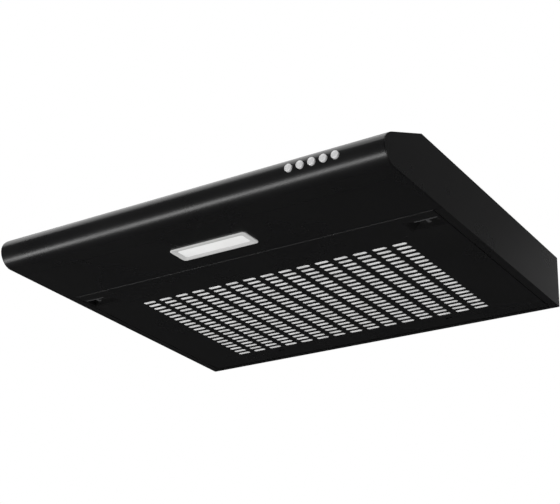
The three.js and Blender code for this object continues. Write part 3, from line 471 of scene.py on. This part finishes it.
def grille_panel():
    """The pan of the grille: folded edges with a real bend, and round-ended slots with softened rims."""
    z0, z1 = grille_low.z, grille_high.z

    def tray(work):
        add_block(work, grille_low, grille_high)
        ends = {e: [v.co.z for v in e.verts] for e in work.edges}
        folded = [e for e, z in ends.items() if max(z) < z0 + TINY or max(z) - min(z) > TINY]
        bmesh.ops.bevel(work, geom=folded, offset=FOLD, segments=4, affect="EDGES", profile=0.5)

    def hollow(work):
        inset = Vector((SHEET, SHEET, SHEET))
        add_block(work, grille_low + inset,
                  Vector((grille_high.x - SHEET, grille_high.y - SHEET, z1 + SHEET)))

    def rear_cut(work):
        add_block(work, (grille_low.x + SHEET, grille_high.y - 2 * SHEET, z1 - 2 * MM),
                  (grille_high.x - SHEET, grille_high.y + SHEET, z1 + SHEET))

    def holes(work):
        length, width = SLOT_SIZE
        below, above = z0 - SHEET, z0 + 2 * SHEET
        for x, y in slot_centres():
            add_prism(work, rounded_outline(x, y, length, width, width / 2 - TINY, 5), below, above)
        for side, name in ((-1, "left"), (1, "right")):
            low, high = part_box(f"latch_housing_{name}")
            x0, x1 = (low.x + LATCH_LIP, high.x) if side > 0 else (low.x, high.x - LATCH_LIP)
            add_block(work, (x0 - LATCH_ROOM, low.y - LATCH_ROOM, below),
                      (x1 + LATCH_ROOM, high.y - LATCH_LIP + LATCH_ROOM, above))
            middle = middle_of(f"latch_{name}").x
            sill, head = (z0 + height for height in LATCH_WINDOW_HEIGHTS)
            add_block(work, (middle - LATCH_WINDOW_HALF, grille_low.y - SHEET, sill),
                      (middle + LATCH_WINDOW_HALF, grille_low.y + 2 * SHEET, head))
            for x in WIRE_HOLES_X:
                outline = arc((side * x, first_slot - HOLE_TO_SLOTS), WIRE_HOLE_RADIUS, 0, 345, 23)
                add_prism(work, outline, below, above)
            outline = rounded_outline(side * REAR_HOLE_X, last_slot + HOLE_TO_SLOTS, *REAR_HOLE)
            add_prism(work, outline, below, above)

    def pin_holes(work):
        for name in ("left", "right"):
            centre = middle_of(f"hinge_pin_{name}")
            outline = arc((centre.y, centre.z), PIN_HOLE_RADIUS, 0, 345, 23)
            x0, x1 = centre.x - PIN_HOLE_HALF, centre.x + PIN_HOLE_HALF
            add_between(work, [(x0, y, z) for y, z in outline], [(x1, y, z) for y, z in outline])

    panel = solid("filter_grille_finished", tray)
    for part in (hollow, rear_cut, holes, pin_holes):
        minus(panel, solid("cutter", part))
    finish_piece(bevelled(panel, 0.22 * MM, 50), "filter_grille")


FELT_EDGE = 3 * MM  # how far in the rounding of its edge reaches
FELT_EDGE_DROP = 1.4 * MM
FELT_TOP_DROP = 0.5 * MM
FELT_LUMP = 0.25 * MM
SWELLING = 1.12 * MM
SWELLING_MARGIN = 0.15 * MM
SWELLING_SLOPE = 0.9 * MM


def felt_lines(first, pitch, count, low, high, offsets):
    """Grid lines of the felt along one way: the slots' own lines, and the felt's edges."""
    lines = [first + i * pitch + offset * MM for i in range(count) for offset in offsets]
    steps = (0, 0.4 * MM, 1.2 * MM, FELT_EDGE)
    edges = [low + step for step in steps] + [high - step for step in steps]
    clear = 3.4 * MM
    inside = [v for v in lines if low + clear < v < high - clear]
    return sorted(edges + inside)


def felt_mat():
    """The felt lies on the grille: soft edges, a quilted top, and a swelling down into each slot."""
    low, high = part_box("grease_filter_mat")
    length, width = SLOT_SIZE
    half = (SLOT_COLUMNS - 1) / 2
    xs = felt_lines(-half * SLOT_PITCH[0], SLOT_PITCH[0], SLOT_COLUMNS, low.x, high.x,
                    (-14.6, -10.6, -10, -9.2, -8, -4, 0, 4, 8, 9.2, 10, 10.6))
    ys = felt_lines(first_slot, SLOT_PITCH[1], slot_rows, low.y, high.y,
                    (-5.85, -3.5, -3, -2.2, 0, 2.2, 3, 3.5))

    def swelling(x, y):
        column = min(max(round(x / SLOT_PITCH[0] + half), 0), SLOT_COLUMNS - 1)
        row = min(max(round((y - first_slot) / SLOT_PITCH[1]), 0), slot_rows - 1)
        dx = abs(x - (column - half) * SLOT_PITCH[0]) - (length - width) / 2
        depth = width / 2 - math.hypot(max(dx, 0), y - first_slot - row * SLOT_PITCH[1])
        rise = min(max((depth - SWELLING_MARGIN) / SWELLING_SLOPE, 0), 1)
        return SWELLING * rise * rise * (3 - 2 * rise)

    def height(x, y, top):
        edge = min(x - low.x, high.x - x, y - low.y, high.y - y)
        soft = FELT_EDGE_DROP * max(0, 1 - edge / FELT_EDGE) ** 2
        lump = FELT_LUMP * math.sin(x * 310 + 2 * math.sin(y * 190)) * math.sin(y * 270 + x * 60)
        return high.z - soft - FELT_TOP_DROP + lump if top else low.z + soft - swelling(x, y)

    def mat(work):
        under, over = ([[work.verts.new((x, y, height(x, y, top))) for x in xs] for y in ys]
                       for top in (False, True))
        for grid in (under, over):
            for near, far in zip(grid, grid[1:]):
                for i in range(len(xs) - 1):
                    work.faces.new((near[i], near[i + 1], far[i + 1], far[i]))
        sides = [(under[end], over[end]) for end in (0, -1)]
        sides += [([row[end] for row in under], [row[end] for row in over]) for end in (0, -1)]
        for a, b in sides:
            for i in range(len(a) - 1):
                work.faces.new((a[i], a[i + 1], b[i + 1], b[i]))

    piece = finish_piece(smooth(solid("grease_filter_mat_finished", mat), 50), "grease_filter_mat")


grille_panel()
felt_mat()
for side in ("left", "right"):
    finish_piece(smooth(in_scene(cleaned(frame["nodes"][f"filter_wire_{side}"].data),
                                 f"filter_wire_{side}_finished"), 60), f"filter_wire_{side}")
    refine(f"hinge_bracket_{side}", 0.5)
    refine(f"hinge_pin_{side}", 0.3)

# ---------------------------------------------------------------- latches

COIL_TURNS = 5
COIL_WIRE = 0.45 * MM


def coil_spring(node):
    """A coil spring of round wire, over the length of its node."""
    low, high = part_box(node)
    centre = middle_of(node)
    radius = (high.x - low.x) / 2 - COIL_WIRE
    start, end = low.y + COIL_WIRE, high.y - COIL_WIRE
    steps = COIL_TURNS * 24
    curve = bpy.data.curves.new(node, "CURVE")
    curve.dimensions = "3D"
    curve.bevel_depth = COIL_WIRE
    curve.bevel_resolution = 3
    curve.use_fill_caps = True
    line = curve.splines.new("POLY")
    line.points.add(steps)
    for i, point in enumerate(line.points):
        a = math.tau * COIL_TURNS * i / steps
        point.co = (centre.x + radius * math.cos(a), start + (end - start) * i / steps,
                    centre.z + radius * math.sin(a), 1)
    holder = in_scene(curve, "coil")
    bpy.context.view_layer.update()
    mesh = bpy.data.meshes.new_from_object(holder.evaluated_get(bpy.context.evaluated_depsgraph_get()))
    bpy.data.objects.remove(holder)
    piece = finish_piece(smooth(in_scene(mesh, f"{node}_finished"), 60), node)
    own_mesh(piece)


for side in ("left", "right"):
    refine(f"latch_housing_{side}", 0.35)
    slider = refine(f"latch_{side}", 0.35)
    # Marks the whole slider for the paler black plastic, which is painted light on it.
    painted_light = slider.data.attributes.new("painted_light", "FLOAT", "POINT")
    painted_light.data.foreach_set("value", [1.0] * len(slider.data.vertices))
    coil_spring(f"latch_spring_{side}")

# ---------------------------------------------------------------- lamp


def loft(name, sections, centre, closed):
    """A skin over rounded rectangles of (width, depth, corner radius, height), in millimetres."""
    def build(work):
        rings = []
        for width, depth, radius, z in sections:
            outline = rounded_outline(centre.x, centre.y, width * MM, depth * MM, radius * MM, 8)
            rings.append([(x, y, z * MM) for x, y in outline])
        add_rings(work, rings, closed)
    return solid(name, build)


def lamp_frame():
    """The lamp's frame: round outer edge, flat face, and a chamfer down to the lens."""
    low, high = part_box("lamp_bezel")
    width, depth = (high.x - low.x) / MM, (high.y - low.y) / MM
    face, back, top = low.z / MM, low.z / MM + 1.5, high.z / MM
    inner_w, inner_d = width - 17.5, depth - 15
    tube_w, tube_d = width - 8.6, depth - 8.6
    sections = [
        (width, depth, 5, back),
        (width, depth, 5, face + 0.7),
        (width - 0.3, depth - 0.3, 4.9, face + 0.3),
        (width - 0.9, depth - 0.9, 4.6, face + 0.06),
        (width - 1.6, depth - 1.6, 4.3, face),
        (inner_w + 9, inner_d + 8, 4, face),
        (inner_w + 8, inner_d + 7, 3.6, face + 0.15),
        (inner_w + 0.4, inner_d + 0.4, 2.6, face + 1.05),
        (inner_w, inner_d, 2.5, face + 1.2),
        (inner_w, inner_d, 2.5, top),
        (tube_w, tube_d, 2.9, top),
        (tube_w, tube_d, 2.9, back),
    ]
    frame_skin = loft("lamp_bezel_finished", sections, middle_of("lamp_bezel"), True)
    finish_piece(smooth(frame_skin, 40), "lamp_bezel")


def lamp_lens():
    """The lens: a slightly crowned face with a step that seats in the frame."""
    low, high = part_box("lamp_lens")
    flange_w, flange_d = (high.x - low.x) / MM, (high.y - low.y) / MM
    width, depth = flange_w - 4, flange_d - 3
    face, top = low.z / MM, high.z / MM
    sections = [
        (width - 14, depth - 8, 1.5, face),
        (width - 3, depth - 3, 2, face + 0.08),
        (width - 0.6, depth - 0.6, 2.4, face + 0.25),
        (width, depth, 2.5, face + 0.6),
        (width, depth, 2.5, top - 1.5),
        (flange_w, flange_d, 2.5, top - 1.5),
        (flange_w, flange_d, 2.5, top),
    ]
    lens_skin = loft("lamp_lens_finished", sections, middle_of("lamp_lens"), False)
    finish_piece(smooth(lens_skin, 40), "lamp_lens")


lamp_frame()
lamp_lens()
refine("lamp_housing", 0.3)
refine("led_board", 0.12)

# ---------------------------------------------------------------- push buttons


def push_button(node):
    """A round cap with a soft rim and a shallow ring in its face, on its flange and stem."""
    low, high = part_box(node)
    centre = middle_of(node)
    flange = (high.x - low.x) / 2
    radius = flange - 1.4 * MM
    front, end = low.y, high.y
    flange_front, flange_rear = end - 5.2 * MM, end - 4 * MM
    stem = 2.4 * MM
    rim = 0.7 * MM
    ring = radius * 0.66
    profile = [(0.2 * MM, front + 0.12 * MM), (ring - 0.5 * MM, front + 0.16 * MM),
               (ring - 0.15 * MM, front + 0.34 * MM), (ring + 0.15 * MM, front + 0.34 * MM),
               (ring + 0.45 * MM, front + 0.06 * MM)]
    profile += [(radius - rim + rim * math.sin(a), front + rim - rim * math.cos(a))
                for a in (math.radians(d) for d in range(0, 91, 15))]
    profile += [(radius, flange_front), (flange, flange_front), (flange, flange_rear), (stem, flange_rear),
                (stem, end - 0.4 * MM), (stem - 0.4 * MM, end)]

    def build(work):
        turned(work, [(r, y - centre.y) for r, y in profile], centre, "y", 48)

    finish_piece(smooth(solid(f"{node}_finished", build), 38), node)


for node in sorted(frame["nodes"]):
    if node.startswith("button_") and node != "button_guide":
        push_button(node)
refine("button_guide", 0.3)
refine("switch_block", 0.5)

# ---------------------------------------------------------------- fan

for node, width in (("fan_housing", 0.4), ("fan_inlet_plate", 0.35), ("fan_impeller", 0.25),
                    ("fan_motor", 0.6), ("motor_mount", 0.3), ("motor_shaft", 0.3),
                    ("impeller_nut", 0.5)):
    refine(node, width)


def cross_head_screw(node, points_up):
    """A pan-head screw with a cross recess and a threaded shank."""
    low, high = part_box(node)
    centre = middle_of(node)
    radius = (high.x - low.x) / 2
    height = 2.2 * MM
    shank = 1.6 * MM
    length = high.z - low.z - height
    dome = [(radius * math.sin(math.radians(a)) ** 0.8, -height * math.cos(math.radians(a)) ** 0.7)
            for a in (4, 20, 35, 50, 65, 78, 88)]
    turns = max(3, int(length / (1.1 * MM)))
    thread = []
    for i in range(turns):
        at = length * i / turns
        thread += [(shank * 0.78, at + 0.2 * MM), (shank, at + 0.6 * MM)]
    profile = dome + [(radius, 0), *thread, (shank * 0.3, length)]
    base = low.z + height if points_up else high.z - height
    flip = 1 if points_up else -1

    def build(work):
        turned(work, [(r, flip * along) for r, along in profile], (centre.x, centre.y, base), "z", 28)

    deep, wide, reach = 1.5 * MM, 0.42 * MM, 1.9 * MM
    face = base - flip * height
    z0, z1 = sorted((face - flip * MM, face + flip * deep))
    made = solid(f"{node}_finished", build)
    for half_x, half_y in ((reach, wide), (wide, reach)):
        def bar(work):
            add_block(work, (centre.x - half_x, centre.y - half_y, z0),
                      (centre.x + half_x, centre.y + half_y, z1))
        minus(made, solid("cutter", bar))
    finish_piece(smooth(made, 35), node)


for node in sorted(frame["nodes"]):
    if "_screw_" in node:
        cross_head_screw(node, not node.startswith("collar"))

# ---------------------------------------------------------------- outlet collar


def collar_ring():
    """The collar turned true, with a radius at its flange and a rounded rim."""
    low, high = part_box("outlet_collar")
    centre = middle_of("outlet_collar")
    flange_width, wall = 10.5 * MM, 2 * MM
    flange = (high.x - low.x) / 2
    outer = flange - flange_width
    inner = outer - wall
    base, top = low.z, high.z
    profile = [(inner, base), (flange - 0.4 * MM, base), (flange, base + 0.4 * MM), (flange, base + 1.5 * MM),
               (flange - 0.5 * MM, base + 2 * MM), (outer + 1.2 * MM, base + 2 * MM),
               (outer + 0.35 * MM, base + 2.35 * MM), (outer, base + 3.2 * MM), (outer, top - 7 * MM),
               (outer, top - 0.7 * MM), (outer - 0.3 * MM, top - 0.15 * MM), (outer - 0.7 * MM, top),
               (inner + 0.7 * MM, top), (inner + 0.2 * MM, top - 0.2 * MM), (inner, top - 0.7 * MM)]

    def build(work):
        turned(work, profile, (centre.x, centre.y, 0), "z", 96, closed=True)

    finish_piece(smooth(solid("outlet_collar_finished", build), 38), "outlet_collar")


collar_ring()
for node in ("flap_front", "flap_rear"):
    refine(node, 0.25)
refine("flap_spindle", 0.3)

# ---------------------------------------------------------------- wiring

for node, width in (("terminal_box", 0.6), ("terminal_lid", 0.5), ("cable_gland", 0.4), ("capacitor", 0.8),
                    ("capacitor_band", 0.3)):
    refine(node, width)
for node in ("lamp_cable", "switch_cable", "motor_cable"):
    sheath = in_scene(cleaned(frame["nodes"][node].data), f"{node}_finished")
    finish_piece(smooth(sheath, 60), node)

# ---------------------------------------------------------------- camera

YAW, PITCH, ROLL = (math.radians(a) for a in (35.22, 24.61, -2.74))
CAMERA_PLACE = Vector((0.915, -1.3529, -0.7551))
SENSOR = 36
FOCAL_LENGTH = 2.25375  # in widths of the picture

look = Matrix.Rotation(YAW, 3, "Z") @ Matrix.Rotation(PITCH, 3, "X") @ Matrix.Rotation(ROLL, 3, "Y")
right, ahead, up = look.col
camera_data = bpy.data.cameras.new("camera")
camera_data.sensor_width = SENSOR
camera_data.lens = FOCAL_LENGTH * SENSOR
camera = bpy.data.objects.new("camera", camera_data)
camera.matrix_world = Matrix.Translation(CAMERA_PLACE) @ Matrix((right, up, -ahead)).transposed().to_4x4()
bpy.context.scene.collection.objects.link(camera)
bpy.context.scene.camera = camera

# ---------------------------------------------------------------- light

scene = bpy.context.scene
scene.view_settings.view_transform = "Standard"
scene.view_settings.look = "None"

LIGHTS_AIM = Vector((0, -0.1, -0.04))
ROOM_GREY = 0.85
REFLECTED_GREYS = ((0.40, 0.022), (0.80, 0.07))  # each with its height, from 0 below to 1 above
FLOOR_HALF = 9
FLOOR_HEIGHT = -1.75


def soft_light(name, direction, distance, size, power, lights=True):
    """A rectangular light that faces the object from a direction, or only shows in reflections."""
    data = bpy.data.lights.new(name, "AREA")
    data.shape = "RECTANGLE"
    data.size, data.size_y = size
    data.energy = power
    light = bpy.data.objects.new(name, data)
    towards = Vector(direction).normalized()
    light.location = LIGHTS_AIM + towards * distance
    light.rotation_euler = towards.to_track_quat("Z", "Y").to_euler()
    light.visible_diffuse = lights
    light.visible_camera = False
    scene.collection.objects.link(light)


soft_light("front_strip", (-0.30, -0.70, -0.62), 2.2, (3.2, 0.42), 26)
soft_light("overhead_softbox", (-0.50, 0.05, 0.86), 2.3, (2.6, 2.0), 20, lights=False)
soft_light("rear_softbox", (-0.02, 0.93, 0.33), 2.8, (2.2, 0.6), 2.2, lights=False)


def studio_world():
    """White to the camera, a bright room for soft light, and a dim one in reflections, darkest below."""
    world = bpy.data.worlds.new("studio")
    world.use_nodes = True
    tree = world.node_tree
    tree.nodes.clear()

    def background(colour):
        node = tree.nodes.new("ShaderNodeBackground")
        if isinstance(colour, bpy.types.NodeSocket):
            tree.links.new(colour, node.inputs["Color"])
        else:
            node.inputs["Color"].default_value = (colour, colour, colour, 1)
        return node.outputs[0]

    def either(factor, first, second):
        mix = tree.nodes.new("ShaderNodeMixShader")
        tree.links.new(factor, mix.inputs["Fac"])
        tree.links.new(first, mix.inputs[1])
        tree.links.new(second, mix.inputs[2])
        return mix.outputs[0]

    place = tree.nodes.new("ShaderNodeTexCoord")
    split = tree.nodes.new("ShaderNodeSeparateXYZ")
    height = tree.nodes.new("ShaderNodeMapRange")
    height.inputs["From Min"].default_value = -1
    ramp = tree.nodes.new("ShaderNodeValToRGB")
    tree.links.new(place.outputs["Generated"], split.inputs[0])
    tree.links.new(split.outputs["Z"], height.inputs["Value"])
    tree.links.new(height.outputs["Result"], ramp.inputs["Fac"])
    for element, (position, grey) in zip(ramp.color_ramp.elements, REFLECTED_GREYS):
        element.position = position
        element.color = (grey, grey, grey, 1)
    kind = tree.nodes.new("ShaderNodeLightPath")
    lit = either(kind.outputs["Is Glossy Ray"], background(ROOM_GREY), background(ramp.outputs["Color"]))
    seen = either(kind.outputs["Is Camera Ray"], lit, background(1.0))
    output = tree.nodes.new("ShaderNodeOutputWorld")
    tree.links.new(seen, output.inputs["Surface"])
    scene.world = world


def pale_floor():
    """A wide pale floor well below the hood."""
    def build(work):
        bmesh.ops.create_grid(work, x_segments=1, y_segments=1, size=FLOOR_HALF)
        bmesh.ops.translate(work, vec=(0, 0, FLOOR_HEIGHT), verts=work.verts)
    floor = solid("floor", build)
    t = Tree("floor_paint")
    t.set(Base_Color=t.mixed(t.ranged(t.noise(3), 0, 1), (0.78, 0.78, 0.78), (0.82, 0.82, 0.82)),
          Roughness=0.9)
    floor.data.materials.append(t.material)
    floor.visible_glossy = False


studio_world()
pale_floor()
